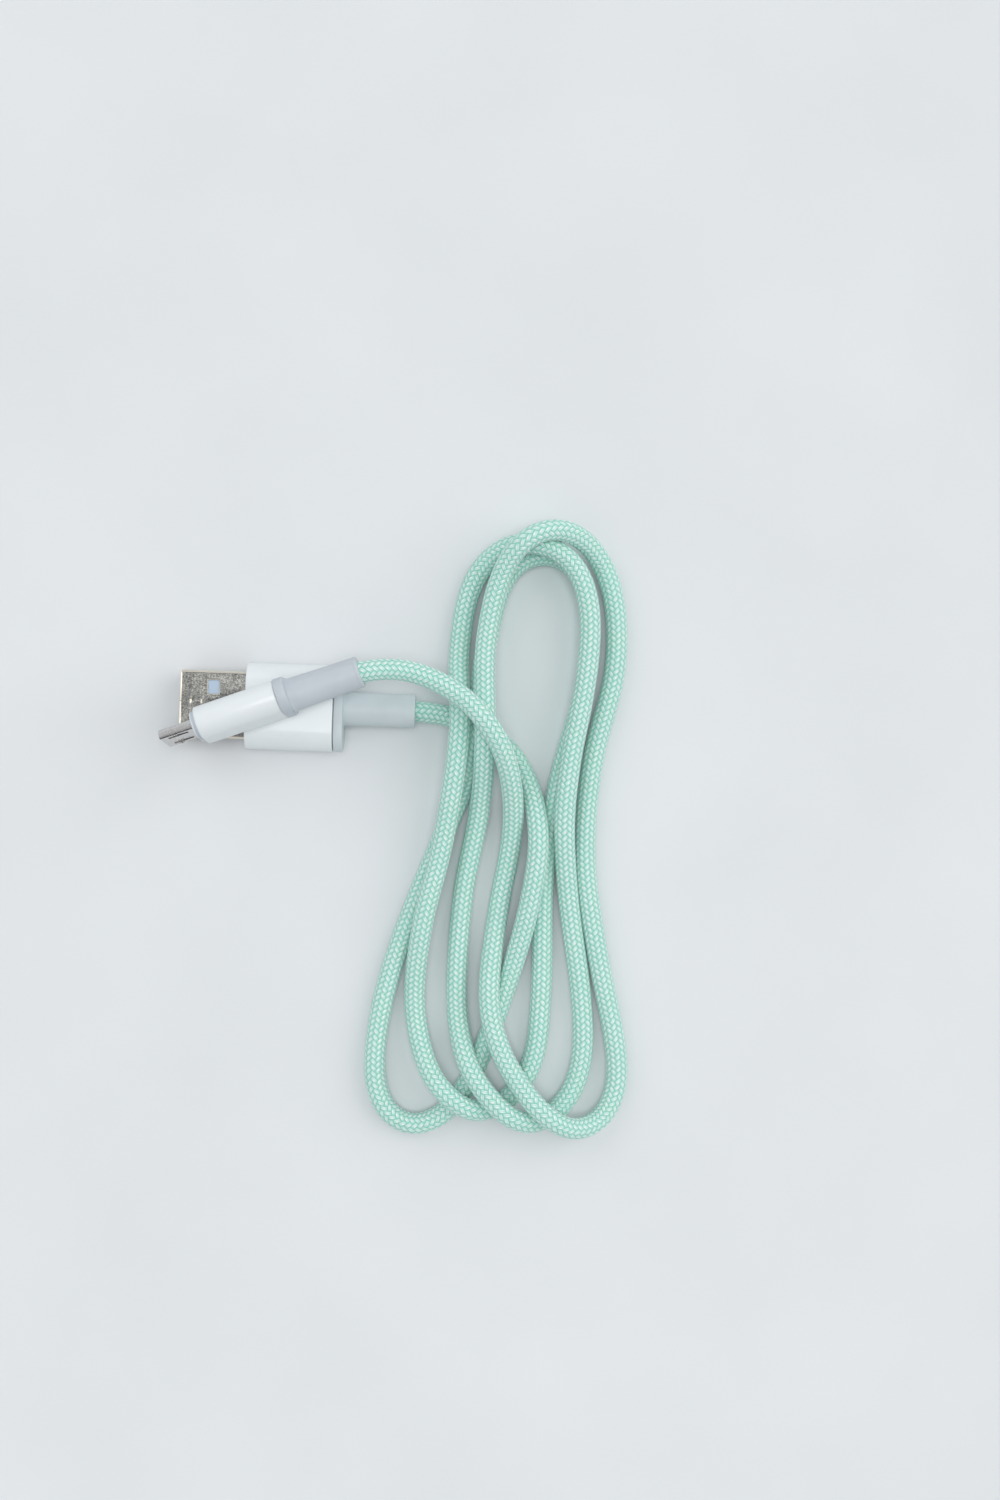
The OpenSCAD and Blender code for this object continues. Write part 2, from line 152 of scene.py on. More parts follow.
def own_place_b(points):
    """The micro-B plug's own millimetres, from the frame's"""
    return (points - np.array(B_TIP)) @ np.array(B_TURN)


# The middle line of the free cord, in millimetres, point for point as in the CAD model
ROUTE = [
    (BOOT_A_END, 0, AXIS_A_Z), (28, -0.5, 2.4), (33.5, -2.5, 1.9), (39, -6, 1.9), (43, -12, 2.2),
    (45.2, -21, 5.3), (44.3, -32, 5.2), (40, -50, 1.9),
    # first loop
    (33.5, -67.5, 1.9), (29, -72.8, 1.9), (24, -74.4, 1.9), (19.8, -72.2, 1.9), (17.4, -67, 1.9),
    (17.5, -57, 1.9), (20, -45, 1.9), (28.5, -21, 1.9), (32, -12, 2.3), (33.5, -2.5, 5.8), (34.4, 11, 1.9),
    (38, 25.3, 1.9), (42.8, 29, 1.9), (48, 28.5, 1.9), (51.6, 25, 1.9), (53.2, 18, 1.9), (52.8, 6, 1.9),
    (48.5, -12, 1.9), (46.5, -28, 1.9), (46.7, -50, 1.9), (45.8, -61.5, 1.9),
    # second loop
    (43, -67.4, 1.9), (39, -70.7, 2.2), (34.8, -71, 5), (30.6, -68.4, 6), (27, -64, 4.5), (24, -53, 2),
    (25, -38, 5), (28, -24, 5.7), (30.5, -3, 8.5), (29.8, 11, 2.2), (31.6, 23, 1.9), (35.3, 28.6, 3),
    (40.5, 30.7, 5.6), (46, 30, 5.7), (50.4, 26.3, 5.7), (52.9, 19, 5.7), (52.7, 7, 5.7), (50.4, -8, 5.7),
    (49.7, -19, 5.2), (50.9, -32, 2.6), (54, -51, 1.9),
    # third loop
    (54.5, -60.5, 1.9), (53, -67, 1.9), (49.6, -71.5, 2), (45, -73, 4.8), (41, -71.2, 6.4),
    (37.3, -67.6, 6.2), (34.1, -63, 5.4), (31.7, -54, 2), (32, -33, 1.9), (34.5, -17, 3.4), (35, -4, 9.4),
    (34.6, 13, 5.8), (37.2, 25.5, 7), (41, 31, 9.7), (46, 33.1, 8.4), (50.8, 32, 5.2), (54.8, 28, 2.3),
    (57.4, 21, 1.9), (58, 9, 1.9), (54.5, -8, 1.9), (53.7, -25, 1.9), (56.8, -43.5, 1.9), (60.2, -58, 1.9),
    # last loop, then over everything to the micro-B plug
    (60.8, -66, 1.9), (58.4, -71.8, 2.2), (53.4, -73.8, 4.9), (48, -71, 7.1), (43.4, -66, 6.1),
    (39.4, -59.3, 5.8), (37.3, -51, 5), (38.5, -35, 1.9), (40.5, -21, 3.2), (39.5, -10, 9.2),
    (36, -2.5, 13.2), (30.5, 3, 13.1), (21, 7, 13.1),
    tuple(place_b([(BOOT_B_END, 0, 0)])[0]),
]
# The cord runs straight out of each strain relief, from a little way inside it
LEAD = 3
LEAD_A = place_a([(BOOT_A_END - LEAD, 0, 0), (BOOT_A_END - LEAD / 2, 0, 0)])
LEAD_B = place_b([(BOOT_B_END - LEAD / 2, 0, 0), (BOOT_B_END - LEAD, 0, 0)])


def resample(line, step):
    """The same line with points about step apart"""
    run = np.concatenate([[0], np.cumsum(np.linalg.norm(np.diff(line, axis=0), axis=1))])
    at = np.linspace(0, run[-1], int(round(run[-1] / step)) + 1)
    return np.stack([np.interp(at, run, line[:, k]) for k in range(3)], 1)


def curve_through(points, steps=24):
    """A centripetal Catmull-Rom curve through the points"""
    q = np.vstack([2 * points[0] - points[1], points, 2 * points[-1] - points[-2]])
    line = []
    for p0, p1, p2, p3 in zip(q, q[1:], q[2:], q[3:]):
        t0 = 0
        t1 = t0 + np.linalg.norm(p1 - p0) ** 0.5
        t2 = t1 + np.linalg.norm(p2 - p1) ** 0.5
        t3 = t2 + np.linalg.norm(p3 - p2) ** 0.5
        for t in np.linspace(t1, t2, steps, endpoint=False):
            a1 = ((t1 - t) * p0 + (t - t0) * p1) / (t1 - t0)
            a2 = ((t2 - t) * p1 + (t - t1) * p2) / (t2 - t1)
            a3 = ((t3 - t) * p2 + (t - t2) * p3) / (t3 - t2)
            b1 = ((t2 - t) * a1 + (t - t0) * a2) / (t2 - t0)
            b2 = ((t3 - t) * a2 + (t - t1) * a3) / (t3 - t1)
            line.append(((t2 - t) * b1 + (t - t1) * b2) / (t2 - t1))
    return np.array(line + [points[-1]])


def soften(line, step, spread=2.0):
    """Evens out the bends over about spread millimetres and keeps both ends"""
    reach = int(4 * spread / step)
    weight = np.exp(-0.5 * (np.arange(-reach, reach + 1) * step / spread) ** 2)
    weight /= weight.sum()
    padded = np.vstack([2 * line[0] - line[reach:0:-1], line, 2 * line[-1] - line[-2:-reach - 2:-1]])
    return np.stack([np.convolve(padded[:, k], weight, "valid") for k in range(3)], 1)


def cord_line(step):
    points = np.vstack([LEAD_A, np.array(ROUTE, float), LEAD_B])
    line = soften(resample(curve_through(points), step), step)
    line[:, 2] = np.maximum(line[:, 2], CORD_R)
    return resample(line, step)


CARRIERS = 12            # yarns that wind each way round the cord
BRAID_PITCH = 12.96      # length of one turn of a yarn
BRAID_RELIEF = 0.16      # how far a yarn's crown stands over the gaps beside it
DIVE = 0.25              # height of a yarn's back where it dives under, as a share of the relief
RING_STEP = 0.25         # between the mesh's rings, along the cord
RING_SIDES = 60

YARN, YARN_PALE = (0.56, 0.85, 0.77), (0.72, 0.93, 0.88)
YARN_PATCH = (0.82, 0.96, 0.92)
# painted shade for a yarn's ends, where it dives under the yarns that cross it
YARN_DIVE_SHADE = (0.27, 0.66, 0.54)
# painted shade for the gaps between yarns
YARN_GAP_SHADE = (0.27, 0.64, 0.53)
FLECK = (0.98, 1.0, 0.99)


def braid_height(u, v):
    """Relief of a two-over-two braid, 0 to 1. u counts carriers round the cord, v along it."""
    a, b = u + v, u - v
    i, j = np.floor(a), np.floor(b)
    over = (i + j) % 4 < 2
    t = np.where(over, ((b + i) % 4) / 2, ((a + j) % 4 - 2) / 2)
    w = np.where(over, a - i, b - j)
    back = np.sqrt(np.clip(4 * w * (1 - w), 0, 1))
    crown = np.sqrt(np.clip(1 - (2 * t - 1) ** 2, 0, 1))
    return back * (DIVE + (1 - DIVE) * crown)


def frames_along(line):
    """Unit vectors along and across the line, carried along it without twist"""
    along = np.gradient(line, axis=0)
    along /= np.linalg.norm(along, axis=1)[:, None]
    side = np.empty_like(line)
    u = np.array([0.0, 1.0, 0.0])
    for k, t in enumerate(along):
        u = u - (u @ t) * t
        u /= np.linalg.norm(u)
        side[k] = u
    return along, side, np.cross(along, side)


def mesh_object(name, points, faces, smooth=True):
    """A new object from points in millimetres"""
    mesh = bpy.data.meshes.new(name)
    mesh.from_pydata((np.asarray(points, float) * MM).tolist(), [], faces)
    mesh.update()
    if smooth:
        mesh.shade_smooth()
    made = bpy.data.objects.new(name, mesh)
    scene.collection.objects.link(made)
    return made


def braided_cord():
    line = cord_line(RING_STEP)
    along, side, up = frames_along(line)
    count = len(line)
    turn = np.arange(RING_SIDES) / RING_SIDES
    u = turn[None, :] * CARRIERS
    v = (np.arange(count) * RING_STEP * CARRIERS / BRAID_PITCH)[:, None]
    radius = CORD_R - BRAID_RELIEF * (1 - braid_height(u, v))
    cos, sin = np.cos(2 * np.pi * turn), np.sin(2 * np.pi * turn)
    rim = side[:, None, :] * cos[None, :, None] + up[:, None, :] * sin[None, :, None]
    points = (line[:, None, :] + radius[:, :, None] * rim).reshape(-1, 3)
    ring = np.arange(RING_SIDES)
    start = (np.arange(count - 1) * RING_SIDES)[:, None]
    a, b = start + ring, start + (ring + 1) % RING_SIDES
    quads = np.stack([a, b, b + RING_SIDES, a + RING_SIDES], 2).reshape(-1, 4)
    faces = quads.tolist() + [ring[::-1].tolist(), ((count - 1) * RING_SIDES + ring).tolist()]
    cord = mesh_object("braided_cord", points, faces)
    # carrier counts round and along, for the yarns' pattern
    k, m = np.divmod(np.arange((count - 1) * RING_SIDES), RING_SIDES)
    du = CARRIERS / RING_SIDES
    dv = RING_STEP * CARRIERS / BRAID_PITCH
    corners_u = np.stack([m, m + 1, m + 1, m], 1) * du
    corners_v = np.stack([k, k, k + 1, k + 1], 1) * dv
    walls = np.stack([corners_u, corners_v], 2).reshape(-1, 2)
    caps = np.zeros((2 * RING_SIDES, 2))
    layer = cord.data.uv_layers.new(name="braid")
    layer.data.foreach_set("uv", np.vstack([walls, caps]).astype(np.float32).ravel())
    return cord, line


def braid_material():
    g = Graph("braid")
    uv = g.node("ShaderNodeUVMap", uv_map="braid").outputs[0]
    split = g.node("ShaderNodeSeparateXYZ", {0: uv})
    u, v = split.outputs[0], split.outputs[1]
    a, b = g.math("ADD", u, v), g.math("SUBTRACT", u, v)
    i, j = g.math("FLOOR", a), g.math("FLOOR", b)
    over = g.math("LESS_THAN", g.math("FLOORED_MODULO", g.math("ADD", i, j), 4.0), 1.5)
    t_over = g.math("DIVIDE", g.math("FLOORED_MODULO", g.math("ADD", b, i), 4.0), 2.0)
    t_under = g.math("MULTIPLY_ADD", g.math("FLOORED_MODULO", g.math("ADD", a, j), 4.0), 0.5, -1.0)
    t = g.between(over, t_under, t_over)
    w = g.between(over, g.math("SUBTRACT", b, j), g.math("SUBTRACT", a, i))
    index = g.between(over, g.math("ADD", j, 37.0), i)
    # each carrier lays two ends side by side
    two = g.math("MULTIPLY", w, 2.0)
    end = g.math("FRACT", two)
    first_end = g.math("LESS_THAN", w, 0.5)
    away = g.math("MULTIPLY_ADD", end, 2.0, -1.0)
    ridge = g.math("SQRT", g.math("MAXIMUM", g.math("SUBTRACT", 1.0, g.math("MULTIPLY", away, away)), 0.0))
    off = g.math("MULTIPLY_ADD", t, 2.0, -1.0)
    crown = g.math("SQRT", g.math("MAXIMUM", g.math("SUBTRACT", 1.0, g.math("MULTIPLY", off, off)), 0.0))
    height = g.math("MULTIPLY", ridge, g.math("MULTIPLY_ADD", crown, 0.7, 0.3))
    # fibres run along the end
    spread = {0: g.math("MULTIPLY", w, 16.0), 1: g.math("MULTIPLY", t, 1.6),
              2: g.math("MULTIPLY", index, 7.3)}
    fibre = g.noise(1.0, 3.0, 0.6, g.node("ShaderNodeCombineXYZ", spread).outputs[0])
    # one end of each carrier catches the light as a white fleck on its crown
    fleck = g.math("MULTIPLY", first_end, g.ramp(crown, 0.94, 0.99))
    fleck = g.math("MULTIPLY", fleck, g.ramp(ridge, 0.3, 0.7))
    fleck = g.math("MULTIPLY", fleck, g.ramp(g.noise(700.0), 0.35, 0.6, 0.6, 1.0))
    patch = g.noise(240.0, 2.0, 0.5)
    yarn = g.mix(g.ramp(fibre, 0.3, 0.75), YARN, YARN_PALE)
    yarn = g.mix(g.ramp(patch, 0.35, 0.7, 0.0, 0.35), yarn, YARN_PATCH)
    # painted shade: darker towards the ends of each float, where the yarn dives under
    yarn = g.mix(g.ramp(crown, 0.4, 0.95), YARN_DIVE_SHADE, yarn)
    yarn = g.mix(fleck, yarn, FLECK)
    # painted shade: dark in the deep gap between carriers and fainter in the shallow one between a carrier's
    # two ends
    across = g.math("MULTIPLY_ADD", w, 2.0, -1.0)
    carrier = g.math("SUBTRACT", 1.0, g.math("MULTIPLY", across, across))
    depth = g.math("MULTIPLY", g.ramp(carrier, 0.1, 0.62), g.ramp(ridge, 0.1, 0.7, 0.6, 1.0))
    colour = g.mix(depth, YARN_GAP_SHADE, yarn)
    normal = g.bump(g.math("ADD", height, g.math("MULTIPLY", fibre, 0.35)), 0.00012, 0.8)
    return g.finish(Base_Color=colour, Roughness=0.62, Sheen_Weight=0.35, Sheen_Roughness=0.45,
                    Sheen_Tint=(0.85, 1.0, 0.95), Specular_IOR_Level=0.35, Normal=normal)


cord, line = braided_cord()
cord.data.materials.append(braid_material())
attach(cord, "cable")
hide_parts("cord")

# ---------------------------------------------------------------- plug shapes


def outline(w, h, r, corner=14):
    """A rounded rectangle in Y and Z, with as many points at each of its corners as corner says"""
    r = min(r, w / 2, h / 2)
    turn = np.linspace(0, np.pi / 2, corner)
    points = []
    for q, (sy, sz) in enumerate(((1, 1), (-1, 1), (-1, -1), (1, -1))):
        a = turn + q * np.pi / 2
        points.append(np.stack([sy * (w / 2 - r) + r * np.cos(a), sz * (h / 2 - r) + r * np.sin(a)], 1))
    return np.vstack(points)


def stadium(w, h):
    return outline(w, h, h / 2)


def disc(r):
    return outline(2 * r, 2 * r, r)


def at(x, ring):
    return np.column_stack([np.full(len(ring), x), ring])


def loft(name, rings, place):
    """A skin over a run of rings with equally many points, closed from the last back to the first"""
    n = len(rings[0])
    points = np.vstack(rings)
    faces = []
    for k in range(len(rings)):
        a, b = k * n, (k + 1) % len(rings) * n
        faces += [(a + m, a + (m + 1) % n, b + (m + 1) % n, b + m) for m in range(n)]
    made = mesh_object(name, place(points), faces)
    tidy(made)
    return made


def tidy(piece, sharp_deg=32):
    """Merges doubles, points the faces outwards and keeps true edges sharp"""
    bm = bmesh.new()
    bm.from_mesh(piece.data)
    bmesh.ops.remove_doubles(bm, verts=bm.verts, dist=2e-7)
    bmesh.ops.dissolve_degenerate(bm, edges=bm.edges, dist=1e-7)
    bmesh.ops.recalc_face_normals(bm, faces=bm.faces)
    for edge in bm.edges:
        edge.smooth = len(edge.link_faces) != 2 or edge.calc_face_angle(0) < math.radians(sharp_deg)
    bm.to_mesh(piece.data)
    bm.free()


def edge_round(x, shape, radius, facing, steps=5):
    """Rings that turn from the wall into an end face at x, which looks to -X or +X as facing is -1 or 1.
    shape(inset) gives the ring."""
    rings = []
    for a in np.linspace(0, np.pi / 2, steps):
        inset = radius * (1 - math.cos(a))
        back = radius * (1 - math.sin(a))
        rings.append(at(x - facing * back, shape(inset)))
    return rings


def stadium_in(w, h):
    return lambda inset: stadium(w - 2 * inset, h - 2 * inset)


def stand_for(piece, node, slot, *materials):
    for material in materials:
        piece.data.materials.append(material)
    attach(piece, "cable")
    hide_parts(node)
    return piece


def block(low, high):
    """The eight corners of an upright block, from its lowest and highest corner"""
    return [(x, y, z) for x in (low[0], high[0]) for y in (low[1], high[1]) for z in (low[2], high[2])]


def flared(x, y, z, half, out, depth):
    """The eight corners of a block that widens by out over depth towards z"""
    ends = sorted([(z - depth, 0.0), (z, out)])
    return [(x + sx * (half[0] + grow), y + sy * (half[1] + grow), level)
            for sx in (-1, 1) for sy in (-1, 1) for level, grow in ends]


def cut(piece, blocks, place):
    """Cuts blocks that don't touch each other, given in the plug's own millimetres, out of the piece"""
    faces = [tuple(8 * k + c for c in f) for k in range(len(blocks)) for f in
             ((0, 1, 3, 2), (4, 6, 7, 5), (0, 4, 5, 1), (2, 3, 7, 6), (0, 2, 6, 4), (1, 5, 7, 3))]
    cutter = mesh_object("cutter", place(sum(blocks, [])), faces, smooth=False)
    tidy(cutter)
    apply_modifier(piece, "BOOLEAN", object=cutter, operation="DIFFERENCE", solver="EXACT")
    bpy.data.objects.remove(cutter, do_unlink=True)


def bevel_edges(piece, width):
    apply_modifier(piece, "BEVEL", width=width, segments=2, limit_method="ANGLE",
                   angle_limit=math.radians(50))


def apply_modifier(piece, kind, **settings):
    modifier = piece.modifiers.new(kind.lower(), kind)
    for key, value in settings.items():
        setattr(modifier, key, value)
    bpy.context.view_layer.update()
    evaluated = piece.evaluated_get(bpy.context.evaluated_depsgraph_get())
    mesh = bpy.data.meshes.new_from_object(evaluated)
    piece.modifiers.remove(modifier)
    old = piece.data
    piece.data = mesh
    bpy.data.meshes.remove(old)


# ---------------------------------------------------------------- plug materials


def plastic(name, colour, roughness, coat=0.0, grain=0.00002, mottle=0.04):
    """Moulded plastic: a fine grain, grain metres deep, and faint clouds that darken it by twice mottle"""
    g = Graph(name)
    grains = g.noise(5200.0, 3.0, 0.6)
    cloud = g.noise(160.0, 3.0, 0.55)
    darker = tuple(c * (1 - 2 * mottle) for c in colour)
    tone = g.mix(g.ramp(cloud, 0.3, 0.7), darker, colour)
    rough = g.ramp(cloud, 0.3, 0.7, roughness * 0.88, roughness * 1.12)
    return g.finish(Base_Color=tone, Roughness=rough, Coat_Weight=coat, Coat_Roughness=0.12,
                    Normal=g.bump(grains, grain, 0.5))


CLOUD_SHARE = 0.2        # of the metals' clouds against their peel


def metal(name, colour, dark, roughness, grain_scale=4200.0, rim=None):
    """Sheet metal: a fine peel, faint clouds and draw lines, and a painted highlight or painted dark line in
    rim's colour where the face attribute rim says
    """
    g = Graph(name)
    lines = g.noise(1.0, 4.0, 0.65, g.stretch(g.place(), (700.0, 7000.0, 7000.0)))
    clouds = g.noise(320.0, 3.0, 0.6)
    peel = g.noise(grain_scale, 3.0, 0.7)
    mixed = g.math("MULTIPLY_ADD", clouds, CLOUD_SHARE, g.math("MULTIPLY", peel, 1.0 - CLOUD_SHARE))
    tone = g.mix(g.ramp(mixed, 0.42, 0.58), dark, colour)
    if rim is not None:
        # painted light: the face attribute rim lays rim's colour on as a highlight or a dark line
        edge = g.node("ShaderNodeAttribute", attribute_name="rim").outputs["Fac"]
        tone = g.mix(edge, tone, rim)
    rough = g.ramp(mixed, 0.35, 0.65, roughness * 1.25, roughness * 0.85)
    normal = g.bump(lines, 0.000003, 0.25, g.bump(peel, 0.00001, 0.45))
    return g.finish(Base_Color=tone, Metallic=1.0, Roughness=rough, Normal=normal)


WHITE = plastic("white_gloss", (0.80, 0.845, 0.865), 0.4, coat=0.2, grain=0.000002, mottle=0.01)
GREY_A = plastic("grey_elastomer_a", (0.62, 0.69, 0.72), 0.5)
GREY_B = plastic("grey_elastomer_b", (0.56, 0.61, 0.66), 0.5)
# a paler copy of the micro-B grey: painted light for the plug's nose
GREY_B_PAINTED_LIGHT = plastic("grey_b_painted_light", (0.75, 0.80, 0.88), 0.45)
PALE = plastic("pale_insulator", (0.44, 0.56, 0.70), 0.4)
DARK = plastic("dark_insulator", (0.035, 0.035, 0.04), 0.4)
# rim paints an ivory highlight on the shell's lip, corners, window edges and marks
SHELL = metal("plated_steel", (0.30, 0.298, 0.28), (0.105, 0.105, 0.098), 0.42, 4600.0,
              rim=(0.98, 0.92, 0.80))
# rim paints a dark line of shade at the shell's bend and darkens its sides
BRIGHT = metal("bright_steel", (0.66, 0.65, 0.64), (0.56, 0.55, 0.54), 0.2, rim=(0.06, 0.06, 0.065))
SHIELD = metal("shield_steel", (0.66, 0.66, 0.66), (0.5, 0.5, 0.5), 0.35)
GOLD = metal("contact_gold", (0.95, 0.74, 0.36), (0.78, 0.56, 0.24), 0.22)
MOULD = plastic("mould_plastic", (0.82, 0.82, 0.78), 0.45)
JACKET = plastic("jacket", (0.76, 0.78, 0.77), 0.6)
WIRES = {
    "red": plastic("wire_red", (0.62, 0.03, 0.02), 0.4),
    "white": plastic("wire_white", (0.82, 0.82, 0.8), 0.4),
    "green": plastic("wire_green", (0.02, 0.3, 0.08), 0.4),
    "black": plastic("wire_black", (0.015, 0.015, 0.015), 0.4),
}
BRAID_END = plastic("braid_end", (0.36, 0.74, 0.62), 0.7)

# ---------------------------------------------------------------- standard-A plug

# Width and height in brackets; front, back and the like are places along the plug
A = {
    "sleeve": (15.5, 7.5), "front": -7.8, "back": 7.8, "wall": 0.8, "core": (13.6, 5.6),
    "shell": (12.0, 4.5), "corner": 0.6, "sheet": 0.3, "tip": -19.6, "shell_back": -1.4,
    "flange": (8.0, 9.6), "boot_r": 3.0, "boot_taper": 0.05, "fillet": 0.3,
    "mould": (12.3, 4.7), "pocket": (12.1, 4.6), "mould_front": -1.35, "mould_back": 6.9,
    # from the tip and from the middle, then the half sizes
    "window": (6.0, 3.1), "window_half": (1.0, 1.2), "press": 0.16,
    "seam_y": 0.45, "groove": 0.035, "seam_back": -8.5,
    "marks": (2.0, 3.9), "mark_half": (0.14, 0.36), "key_half": 0.28,
}
GAP = 0.05
BORE_R = CORD_R + GAP    # of both overmoulds, round the cord
MOUTH_R = CORD_R - 0.08  # of both strain reliefs' mouths, which grip the braid
MOUTH_L = 0.6


def a_sleeve():
    hole = outline(A["shell"][0] + 2 * GAP, A["shell"][1] + 2 * GAP, A["corner"])
    cavity = stadium(A["core"][0] + 2 * GAP, A["core"][1] + 2 * GAP)
    shape = stadium_in(*A["sleeve"])
    rings = edge_round(A["front"], shape, 0.16, -1)[::-1] + edge_round(A["back"], shape, 0.12, 1)
    rings += [at(A["back"], cavity), at(A["front"] + A["wall"], cavity), at(A["front"] + A["wall"], hole),
              at(A["front"], hole)]
    return stand_for(loft("usb_a_sleeve_skin", rings, place_a), "usb_a_sleeve", "white_gloss", WHITE)


def mouth_rings(end, back, ring):
    """From a strain relief's mouth at end, down its bore to back. ring(r) gives the ring."""
    return [at(end, ring(MOUTH_R)), at(end - MOUTH_L, ring(MOUTH_R)),
            at(end - MOUTH_L - 0.1, ring(BORE_R)), at(back, ring(BORE_R))]


def a_overmould():
    w, h = A["sleeve"]
    core, flange, fillet = stadium(*A["core"]), A["flange"], A["fillet"]
    front, boot_r, taper = A["front"] + A["wall"] + GAP, A["boot_r"], A["boot_taper"]
    face = stadium_in(w - GAP, h - GAP)
    rings = [at(front, core), at(flange[0], core)]
    rings += edge_round(flange[0], face, 0.1, -1, 3)[::-1] + edge_round(flange[1], face, 0.15, 1)
    # a concave fillet into the strain relief
    for a in np.linspace(0, np.pi / 2, 5):
        r = boot_r + fillet * (1 - math.sin(a))
        rings.append(at(flange[1] + fillet * (1 - math.cos(a)), disc(r)))
    rings += [at(x, disc(boot_r - taper * (x - 10) / 12)) for x in (13, 16, 19)]
    rings += edge_round(BOOT_A_END, lambda inset: disc(boot_r - taper - inset), 0.15, 1)
    mould, pocket = stadium(*A["mould"]), outline(*A["pocket"], A["corner"])
    rings += mouth_rings(BOOT_A_END, A["mould_back"], disc)
    rings += [at(A["mould_back"], mould), at(A["mould_front"], mould), at(A["mould_front"], pocket),
              at(front, pocket)]
    skin = loft("usb_a_overmould_skin", rings, place_a)
    return stand_for(skin, "usb_a_overmould", "grey_elastomer", GREY_A)


def mark_painted_light(piece, inverse, test):
    """Writes the attribute rim, from 0 to 1, from each face's middle in the plug's own millimetres: where
    the metal's painted highlight or painted shade goes
    """
    faces = piece.data.polygons
    middle = np.zeros(len(faces) * 3)
    faces.foreach_get("center", middle)
    layer = piece.data.attributes.new("rim", "FLOAT", "FACE")
    layer.data.foreach_set("value", test(*inverse(middle.reshape(-1, 3) / MM).T).astype(np.float32))


def a_shell():
    w, h = A["shell"]
    t, corner_r = A["sheet"], A["corner"]

    def outer(inset):
        return outline(w - 2 * inset, h - 2 * inset, corner_r)

    def inner(x, flare=0.0):
        return at(x, outline(w - 2 * t + flare, h - 2 * t + flare, 0.35))

    x0, x1 = A["tip"], A["shell_back"]
    steps = x0 + np.array([0.2, 0.28, 0.36, *np.arange(0.6, A["front"] - x0, 0.6)])
    rings = edge_round(x0, outer, 0.12, -1, 4)[::-1] + [at(x, outer(0)) for x in (*steps, x1)]
    rings += [inner(x) for x in (x1, *steps[::-1], x0 + 0.1)] + [inner(x0, 0.16)]
    shell = loft("usb_a_shell_skin", rings, place_a)
    # two windows in each broad face, with pressed edges
    hole, press, (window_x, window_y) = A["window_half"], A["press"], A["window"]
    spots = [(x0 + window_x, s * window_y) for s in (-1, 1)]
    cut(shell, [block((x - hole[0], y - hole[1], -h), (x + hole[0], y + hole[1], h)) for x, y in spots],
        place_a)
    cut(shell, [flared(x, y, s * (h / 2 + 0.01), hole, press, s * press) for x, y in spots for s in (-1, 1)],
        place_a)
    # the seam where the sheet meets itself, locked by a key between two pressed marks
    groove, top, mid, ends = A["groove"], h / 2 - 0.08, A["seam_y"], [x0 + x for x in A["marks"]]
    mark, key = A["mark_half"], A["key_half"]
    cut(shell, [block((x0 - 1, mid - groove, top), (ends[0] - 0.3, mid + groove, h)),
                block((ends[1] + 0.3, mid - groove, top), (A["seam_back"], mid + groove, h))]
        + [block((x - mark[0], mid - mark[1], top + 0.02), (x + mark[0], mid + mark[1], h)) for x in ends],
        place_a)
    cut(shell, [block((ends[0] + 0.1, y - groove, top + 0.01), (ends[1] - 0.1, y + groove, h))
                for y in (mid - key, mid + key)], place_a)
    bevel_edges(shell, 0.00006)
    tidy(shell, 40)

    def painted_highlight(x, y, z):
        """painted highlight on the rolled lip, the corners, the windows' pressed edges and the seam's marks
        """
        lip = np.clip(1 - (x - x0 - 0.2) / 0.2, 0, 1)
        past = np.hypot(np.abs(y) - w / 2 + corner_r, np.abs(z) - h / 2 + corner_r)
        corner = np.clip((past - corner_r + 0.04) / 0.03, 0, 1)
        corner *= (np.abs(y) > w / 2 - 0.42) & (np.abs(z) > h / 2 - 0.58)
        window = np.abs(x - x0 - window_x) < hole[0] + press
        window &= np.abs(np.abs(y) - window_y) < hole[1] + press
        window &= (np.abs(z) < h / 2 - 0.01) & (np.abs(z) > h / 2 - press)
        mark = np.min([np.abs(x - end) for end in ends], 0) < 0.2
        mark &= (np.abs(y - mid) < 0.5) & (z < h / 2 - 0.01) & (z > top)
        return np.max([lip, 0.8 * corner, 0.8 * window, 0.5 * mark], 0)

    mark_painted_light(shell, lambda p: p - (0, 0, AXIS_A_Z), painted_highlight)
    return stand_for(shell, "usb_a_shell", "plated_steel", SHELL)


a_sleeve()
a_overmould()
a_shell()

# ---------------------------------------------------------------- micro-B plug

# Width and height in brackets; nose, front, back and the like are places along the plug
B = {
    "shell": (6.85, 1.85), "bevel": 0.875, "corner": 0.22, "shell_l": 10.4, "sheet": 0.25,
    "slot": (1.3, 4.9), "slot_y": 2.0, "slot_half": 0.4,
    "sleeve": (9.6, 5.9), "nose": 6.1, "front": 7.0, "back": 21.7, "core": (8.4, 4.7),
    "flange": (21.9, 23.6), "flange_size": (9.9, 6.2), "boot_r": 2.95, "boot_end_r": 2.75,
    "fillet_l": 0.9, "fillet": 0.3, "collar": 0.6, "ridge": 0.05,
    "mould": (7.5, 4.1), "mould_front": 10.55, "mould_back": 20.45,
}


